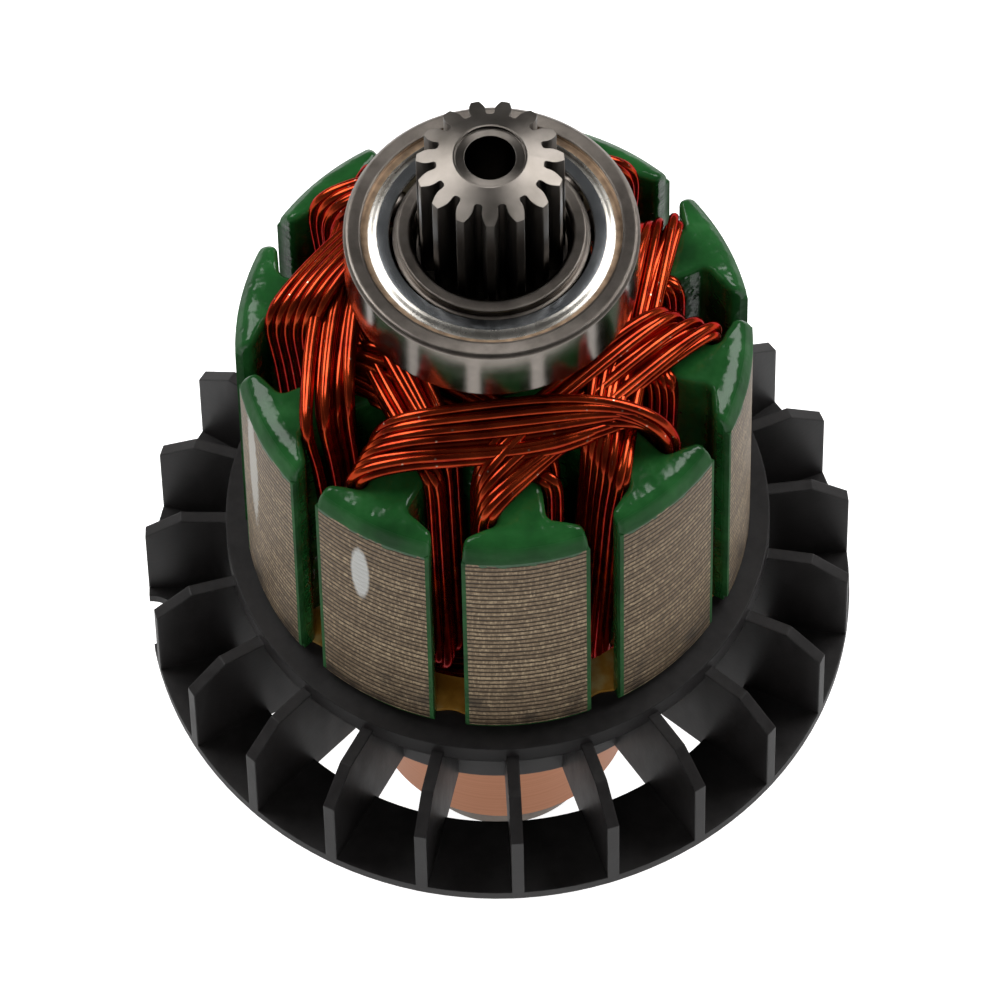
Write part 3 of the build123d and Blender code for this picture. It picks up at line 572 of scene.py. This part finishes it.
# Fan. One injection moulding of black glass-filled nylon, pressed on the shaft under the core: an
# upper ring, straight radial blades and a flat disc at the blades' lower ends.
MOTTLE_WIDTH = 2.2 * MM
FLOW_STRETCH = 0.35
GRAIN_WIDTH = 0.5 * MM
FAN_EDGE = 0.25 * MM
# Glass-filled nylon: nearly black, with a satin sheen that flow marks and the fibres break up
nylon, shader = start_material("black_nylon", Specular_IOR_Level=0.25)
place = add_node(nylon, "ShaderNodeTexCoord").outputs["Object"]
flow_lines = add_node(nylon, "ShaderNodeMapping", values={"Scale": (1, 1, FLOW_STRETCH)},
                      links={"Vector": place})
mottle = add_node(nylon, "ShaderNodeTexNoise",
                  values={"Scale": 1 / MOTTLE_WIDTH, "Detail": 6, "Roughness": 0.7},
                  links={"Vector": flow_lines.outputs["Vector"]})
black = add_node(nylon, "ShaderNodeValToRGB", links={"Fac": mottle.outputs["Fac"]},
                 stops=[(0.3, linear("201e1e")), (0.7, linear("2c2a2a"))])
satin = add_node(nylon, "ShaderNodeMapRange", values={"To Min": 0.3, "To Max": 0.6},
                 links={"Value": mottle.outputs["Fac"]})
grain = add_node(nylon, "ShaderNodeTexNoise", values={"Scale": 1 / GRAIN_WIDTH, "Detail": 3},
                 links={"Vector": place})
edge = add_node(nylon, "ShaderNodeBevel", {"samples": 4}, {"Radius": FAN_EDGE})
bump = add_node(nylon, "ShaderNodeBump", values={"Strength": 0.2, "Distance": 0.05 * MM},
                links={"Height": grain.outputs["Fac"], "Normal": edge.outputs["Normal"]})
feed(nylon, shader, Base_Color=black.outputs["Color"], Roughness=satin.outputs["Result"],
     Normal=bump.outputs["Normal"])
nodes["fan"].data.materials[0] = nylon


# Commutator. Ten bars of drawn copper, each with a hook for its lead, held in a dark phenolic moulding.
# The whole is turned round after moulding, so the marks of the tool run round the bars.
BAR_EDGE = 0.12 * MM
FILLER_WIDTH = 0.6 * MM
# Turned copper: a soft pink metal with fine rings that blur its highlights upward
copper, shader = start_material("turned_copper", Metallic=1)
place = add_node(copper, "ShaderNodeTexCoord").outputs["Object"]
copper_axes = add_node(copper, "ShaderNodeSeparateXYZ", links={"Vector": place})
marks = add_node(copper, "ShaderNodeTexNoise", {"noise_dimensions": "1D"},
                 {"Scale": 1 / TOOL_MARK, "Detail": 3}, {"W": copper_axes.outputs["Z"]})
tone = add_node(copper, "ShaderNodeValToRGB", links={"Fac": marks.outputs["Fac"]},
                stops=[(0.2, linear("bd7f5c")), (0.8, linear("cb9070"))])
skin = add_node(copper, "ShaderNodeMapRange", values={"To Min": 0.25, "To Max": 0.45},
                links={"Value": marks.outputs["Fac"]})
edge = add_node(copper, "ShaderNodeBevel", {"samples": 4}, {"Radius": BAR_EDGE})
bump = add_node(copper, "ShaderNodeBump", values={"Strength": 0.08, "Distance": 0.02 * MM},
                links={"Height": marks.outputs["Fac"], "Normal": edge.outputs["Normal"]})
feed(copper, shader, Base_Color=tone.outputs["Color"], Roughness=skin.outputs["Result"],
     Normal=bump.outputs["Normal"])
# Phenolic: a dull, dark brown with a fine speckle of filler
phenolic, shader = start_material("dark_phenolic", Roughness=0.5)
place = add_node(phenolic, "ShaderNodeTexCoord").outputs["Object"]
filler = add_node(phenolic, "ShaderNodeTexNoise", values={"Scale": 1 / FILLER_WIDTH, "Detail": 5},
                  links={"Vector": place})
brown = add_node(phenolic, "ShaderNodeValToRGB", links={"Fac": filler.outputs["Fac"]},
                 stops=[(0.35, linear("1c1511")), (0.7, linear("392d25"))])
bump = add_node(phenolic, "ShaderNodeBump", values={"Strength": 0.3, "Distance": 0.05 * MM},
                links={"Height": filler.outputs["Fac"]})
feed(phenolic, shader, Base_Color=brown.outputs["Color"], Normal=bump.outputs["Normal"])
for name, node in nodes.items():
    if name.startswith("commutator_bar"):
        node.data.materials[0] = copper
nodes["commutator_body"].data.materials[0] = phenolic


# Bearings. Rings and balls of through-hardened chrome steel, ground and lapped, and a moulded cage.
# The outer rings carry the fine marks of centreless grinding, which run round them.
SMEAR_WIDTH = 2 * MM
RING_EDGE = 0.35 * MM
CAGE_GRAIN = 0.5 * MM
# Ground steel: nearly a mirror round its side, where it shows the coils and the boxes as upright
# bands, and duller on its faces, with a thin smear of oil
bearing_steel, shader = start_material("ground_bearing_steel", Metallic=1, Anisotropic=0.55)
place = add_node(bearing_steel, "ShaderNodeTexCoord")
smear = add_node(bearing_steel, "ShaderNodeTexNoise",
                 values={"Scale": 1 / SMEAR_WIDTH, "Detail": 6, "Roughness": 0.6},
                 links={"Vector": place.outputs["Object"]})
tone = add_node(bearing_steel, "ShaderNodeValToRGB", links={"Fac": smear.outputs["Fac"]},
                stops=[(0.3, linear("7c746d")), (0.7, linear("968e86"))])
facing = add_node(bearing_steel, "ShaderNodeSeparateXYZ", links={"Vector": place.outputs["Normal"]})
flat = add_node(bearing_steel, "ShaderNodeMath", {"operation": "ABSOLUTE"}, links={0: facing.outputs["Z"]})
lapped = add_node(bearing_steel, "ShaderNodeMapRange", values={"To Min": 0.1, "To Max": 0.32},
                  links={"Value": flat.outputs["Value"]})
dulled = add_node(bearing_steel, "ShaderNodeMath", {"operation": "MULTIPLY_ADD"}, {1: 0.08},
                  {0: smear.outputs["Fac"], 2: lapped.outputs["Result"]})
round_axis = add_node(bearing_steel, "ShaderNodeTangent", {"direction_type": "RADIAL", "axis": "Z"})
edge = add_node(bearing_steel, "ShaderNodeBevel", {"samples": 4}, {"Radius": RING_EDGE})
bump = add_node(bearing_steel, "ShaderNodeBump", values={"Strength": 0.02, "Distance": 0.02 * MM},
                links={"Height": smear.outputs["Fac"], "Normal": edge.outputs["Normal"]})
feed(bearing_steel, shader, Base_Color=tone.outputs["Color"], Roughness=dulled.outputs["Value"],
     Tangent=round_axis.outputs["Tangent"], Normal=bump.outputs["Normal"])
# Cage nylon: plain cream, without gloss
cage_nylon, shader = start_material("cage_nylon", Roughness=0.45)
place = add_node(cage_nylon, "ShaderNodeTexCoord").outputs["Object"]
fill = add_node(cage_nylon, "ShaderNodeTexNoise", values={"Scale": 1 / CAGE_GRAIN, "Detail": 4},
                links={"Vector": place})
cream = add_node(cage_nylon, "ShaderNodeValToRGB", links={"Fac": fill.outputs["Fac"]},
                 stops=[(0.35, linear("a89a7c")), (0.7, linear("c4b798"))])
feed(cage_nylon, shader, Base_Color=cream.outputs["Color"])
for side in ("front", "rear"):
    for part, material in (
        ("inner_ring", bearing_steel),
        ("outer_ring", bearing_steel),
        ("balls", bearing_steel),
        ("cage", cage_nylon),
    ):
        nodes[f"{side}_bearing_{part}"].data.materials[0] = material


# Shields. Each is pressed from thin sheet steel with a rolled shoulder, then snapped into the outer
# ring. The plate has a smooth, dark, bluish finish, and the rim outside it is dulled by old grease.
BLOOM_WIDTH = 4 * MM
RUB_AND_HIGHLIGHT_WIDTH = 1.5 * MM
GREASE_WIDTH = 1 * MM
# Blued plate: a cool grey mirror with faint clouds
plate_steel, shader = start_material("blued_steel_plate", Metallic=1)
place = add_node(plate_steel, "ShaderNodeTexCoord").outputs["Object"]
bloom = add_node(plate_steel, "ShaderNodeTexNoise", values={"Scale": 1 / BLOOM_WIDTH, "Detail": 4},
                 links={"Vector": place})
blue = add_node(plate_steel, "ShaderNodeValToRGB", links={"Fac": bloom.outputs["Fac"]},
                stops=[(0.3, linear("a3a8ad")), (0.7, linear("c4c6c8"))])
film = add_node(plate_steel, "ShaderNodeMapRange", values={"To Min": 0.1, "To Max": 0.24},
                links={"Value": bloom.outputs["Fac"]})
feed(plate_steel, shader, Base_Color=blue.outputs["Color"], Roughness=film.outputs["Result"])
# Rolled shoulder: painted paler than the plate, a painted highlight that draws a pale ring round it, and
# mottled by rubbing
shoulder_steel, shader = start_material("rolled_shoulder_painted_highlight", Metallic=1)
place = add_node(shoulder_steel, "ShaderNodeTexCoord").outputs["Object"]
rub_and_highlight = add_node(shoulder_steel, "ShaderNodeTexNoise", values={"Scale": 1 / RUB_AND_HIGHLIGHT_WIDTH, "Detail": 4},
               links={"Vector": place})
painted_highlight_tone = add_node(shoulder_steel, "ShaderNodeValToRGB", links={"Fac": rub_and_highlight.outputs["Fac"]},
                stops=[(0.3, linear("b8b3aa")), (0.7, linear("d6d2ca"))])
soft = add_node(shoulder_steel, "ShaderNodeMapRange", values={"To Min": 0.2, "To Max": 0.34},
                links={"Value": rub_and_highlight.outputs["Fac"]})
feed(shoulder_steel, shader, Base_Color=painted_highlight_tone.outputs["Color"], Roughness=soft.outputs["Result"])
# Greased rim: a brownish, half dull ring outside the shoulder
rim_steel, shader = start_material("greased_steel_rim", Metallic=0.7)
place = add_node(rim_steel, "ShaderNodeTexCoord").outputs["Object"]
grease = add_node(rim_steel, "ShaderNodeTexNoise", values={"Scale": 1 / GREASE_WIDTH, "Detail": 5},
                  links={"Vector": place})
beige = add_node(rim_steel, "ShaderNodeValToRGB", links={"Fac": grease.outputs["Fac"]},
                 stops=[(0.3, linear("85705c")), (0.7, linear("b89c80"))])
wet = add_node(rim_steel, "ShaderNodeMapRange", values={"To Min": 0.3, "To Max": 0.5},
               links={"Value": grease.outputs["Fac"]})
feed(rim_steel, shader, Base_Color=beige.outputs["Color"], Roughness=wet.outputs["Result"])

# Each bearing's bore radius and the height of its ring section from there to its outside
RING_SECTIONS = (("front", 7.5 * MM, 6.5 * MM), ("rear", 3.5 * MM, 6.0 * MM))
# Places across that section, in shares of its height
RIM_SHARE = 0.1
SHOULDER_SHARE = 0.235
SHIELD_GAP_SHARE = 0.108
INNER_LAND_SHARE = 0.223
SHOULDER_STEPS = 5
SHEET = 0.3 * MM
SEAT_DEPTH = 0.6 * MM
PLATE_DEPTH = 0.25 * MM
LIP = 0.12 * MM
ROUND_STEPS = 96
SAME_PLACE = 0.001 * MM
SOFT_EDGE = math.radians(35)
for side, bore, section in RING_SECTIONS:
    ring_low, ring_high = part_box(f"{side}_bearing_outer_ring")
    for level_name, face, inward in (("upper", ring_high.z, -1), ("lower", ring_low.z, 1)):
        seat_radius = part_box(f"{side}_bearing_{level_name}_shield")[1].x
        hole_radius = bore + (INNER_LAND_SHARE + SHIELD_GAP_SHARE) * section
        rim_radius = seat_radius - RIM_SHARE * section
        plate_radius = seat_radius - SHOULDER_SHARE * section
        # Outer face from the seat over the shoulder, eased at both ends, to the lip of the hole
        outer_face = [(seat_radius, SEAT_DEPTH)]
        for step in range(SHOULDER_STEPS + 1):
            share = step / SHOULDER_STEPS
            rise = share * share * (3 - 2 * share)
            outer_face.append((
                rim_radius + (plate_radius - rim_radius) * share,
                SEAT_DEPTH + (PLATE_DEPTH - SEAT_DEPTH) * rise,
            ))
        outer_face += [(hole_radius + LIP, PLATE_DEPTH), (hole_radius, PLATE_DEPTH + LIP)]
        # Inner face back to the seat, one sheet's thickness deeper
        inner_face = [(hole_radius, PLATE_DEPTH + SHEET)]
        inner_face += [(radius, depth + SHEET) for radius, depth in reversed(outer_face[1:-2])]
        inner_face.append((seat_radius, SEAT_DEPTH + SHEET))
        profile = outer_face + inner_face
        bpy.ops.mesh.primitive_circle_add(vertices=ROUND_STEPS, radius=profile[0][0],
                                          location=(0, 0, face + inward * profile[0][1]))
        shield = bpy.context.active_object
        shield.name = f"{side}_{level_name}_pressed_shield"
        bpy.ops.object.transform_apply(location=True)
        bpy.ops.object.mode_set(mode="EDIT")
        bpy.ops.mesh.select_all(action="SELECT")
        for (radius, depth), (next_radius, next_depth) in zip(profile, profile[1:] + profile[:1]):
            growth = next_radius / radius
            bpy.ops.mesh.extrude_edges_move()
            bpy.ops.transform.resize(value=(growth, growth, 1), center_override=(0, 0, 0))
            bpy.ops.transform.translate(value=(0, 0, inward * (next_depth - depth)))
        bpy.ops.mesh.select_all(action="SELECT")
        bpy.ops.mesh.remove_doubles(threshold=SAME_PLACE)
        bpy.ops.mesh.normals_make_consistent(inside=False)
        bpy.ops.object.mode_set(mode="OBJECT")
        bpy.ops.object.shade_smooth_by_angle(angle=SOFT_EDGE)
        finishes = {"plate": plate_steel, "shoulder": shoulder_steel, "rim": rim_steel}
        for material in finishes.values():
            shield.data.materials.append(material)
        for facet in shield.data.polygons:
            out = math.hypot(facet.center.x, facet.center.y)
            zone = "rim" if out > rim_radius else "shoulder" if out > plate_radius else "plate"
            facet.material_index = list(finishes).index(zone)
        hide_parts(f"{side}_bearing_{level_name}_shield")
        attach(shield, f"{side}_outer_race")
        shield.select_set(False)


# Floor. A plain sheet of white paper under the object, which keeps its soft shadow. The camera sees
# it white. In metal it is mirrored darker, as in a studio where only the sheet and the boxes are lit.
FLOOR_SIZE = 6
FLOOR_GLOW = 0.85
FLOOR_MIRRORED = 0.35
bpy.ops.mesh.primitive_plane_add(size=FLOOR_SIZE, location=(0, 0, cad_low.z))
floor = bpy.context.active_object
floor.name = "floor"
# White paper: fully matt, so that the object leaves a shadow on it and no reflection
paper, shader = start_material("white_paper", Base_Color=(0.8, 0.8, 0.8, 1), Roughness=0.9,
                               Specular_IOR_Level=0, Emission_Color=WHITE)
rays = add_node(paper, "ShaderNodeLightPath")
seen = add_node(paper, "ShaderNodeMath", {"operation": "MULTIPLY_ADD"}, {1: FLOOR_MIRRORED},
                {0: rays.outputs["Is Glossy Ray"], 2: rays.outputs["Is Camera Ray"]})
all_seen = add_node(paper, "ShaderNodeMath", {"operation": "ADD", "use_clamp": True},
                    links={0: seen.outputs["Value"], 1: rays.outputs["Is Transmission Ray"]})
lift = add_node(paper, "ShaderNodeMath", {"operation": "MULTIPLY"}, {1: FLOOR_GLOW},
                {0: all_seen.outputs["Value"]})
feed(paper, shader, Emission_Strength=lift.outputs["Value"])
floor.data.materials.append(paper)
floor.select_set(False)


# Light. Two large soft boxes behind at the left and right, and a weaker one in front, in a room that
# lights the object dimly. The camera sees the room white, and metal mirrors it dim at the walls and
# dark overhead.
ROOM_GLOW = 0.22
WALL_GLOW = 0.22
CEILING_GLOW = 0.07
# How far up a direction looks, from 0 to 1, where the wall ends and where the ceiling is reached
WALL_TOP = 0.15
CEILING_FROM = 0.45
world = bpy.data.worlds.new("studio")
bpy.context.scene.world = world
world.use_nodes = True
background = world.node_tree.nodes["Background"]
background.inputs["Color"].default_value = WHITE
direction = add_node(world, "ShaderNodeTexCoord").outputs["Generated"]
upward = add_node(world, "ShaderNodeSeparateXYZ", links={"Vector": direction})
wall = add_node(world, "ShaderNodeMapRange",
                values={"From Min": WALL_TOP, "From Max": CEILING_FROM,
                        "To Min": WALL_GLOW, "To Max": CEILING_GLOW},
                links={"Value": upward.outputs["Z"]})
rays = add_node(world, "ShaderNodeLightPath")
mirrored = add_node(world, "ShaderNodeMath", {"operation": "ADD", "use_clamp": True},
                    links={0: rays.outputs["Is Glossy Ray"], 1: rays.outputs["Is Transmission Ray"]})
room = add_node(world, "ShaderNodeMix", {"data_type": "FLOAT"}, {2: ROOM_GLOW},
                {0: mirrored.outputs["Value"], 3: wall.outputs["Result"]})
strength = add_node(world, "ShaderNodeMath", {"operation": "MAXIMUM"},
                    links={0: rays.outputs["Is Camera Ray"], 1: room.outputs[0]})
feed(world, background, Strength=strength.outputs["Value"])

# Each box: direction round the object and height over it in degrees, size in metres, power in watts
LIGHT_BOXES = (
    ("left_box", 150, 48, (0.52, 0.62), 4.6),
    ("right_box", 30, 48, (0.52, 0.62), 5.1),
    ("front_box", 262, 34, (0.5, 0.4), 1.1),
)
AIM = Vector((0, 0, 0.065))
BOX_DISTANCE = 0.9
for name, azimuth, elevation, size, power in LIGHT_BOXES:
    away = Vector((
        math.cos(math.radians(azimuth)) * math.cos(math.radians(elevation)),
        math.sin(math.radians(azimuth)) * math.cos(math.radians(elevation)),
        math.sin(math.radians(elevation)),
    ))
    lamp = bpy.data.lights.new(name, "AREA")
    lamp.shape = "RECTANGLE"
    lamp.size, lamp.size_y = size
    lamp.energy = power
    lamp_stand = bpy.data.objects.new(name, lamp)
    lamp_stand.location = AIM + away * BOX_DISTANCE
    lamp_stand.rotation_euler = (-away).to_track_quat("-Z", "Y").to_euler()
    # The front box only fills in: no surface mirrors it
    lamp_stand.visible_glossy = name != "front_box"
    bpy.context.scene.collection.objects.link(lamp_stand)


# Camera. A long lens from in front and well above, as the object was photographed. Its place and its
# turn were fitted to the outlines of the bearing, the core and the fan.
SENSOR = 36
FOCAL_PIXELS = 10000
FRAME_PIXELS = 1001
CLIP_END = 20
CAMERA_PLACE = Vector((0, -0.50004, 0.89499))
RIGHT = Vector((0.999766, -0.018760, -0.010733))
UP = Vector((0.021611, 0.860689, 0.508672))
camera = bpy.data.cameras.new("camera")
camera.sensor_width = SENSOR
camera.lens = SENSOR * FOCAL_PIXELS / FRAME_PIXELS
camera.clip_end = CLIP_END
tripod = bpy.data.objects.new("camera", camera)
bpy.context.scene.collection.objects.link(tripod)
back = RIGHT.cross(UP).normalized()
up = back.cross(RIGHT).normalized()
turn = ((RIGHT.x, up.x, back.x), (RIGHT.y, up.y, back.y), (RIGHT.z, up.z, back.z))
tripod.matrix_world = Matrix.Translation(CAMERA_PLACE) @ Matrix(turn).to_4x4()
bpy.context.scene.camera = tripod
bpy.context.scene.view_settings.view_transform = "Standard"
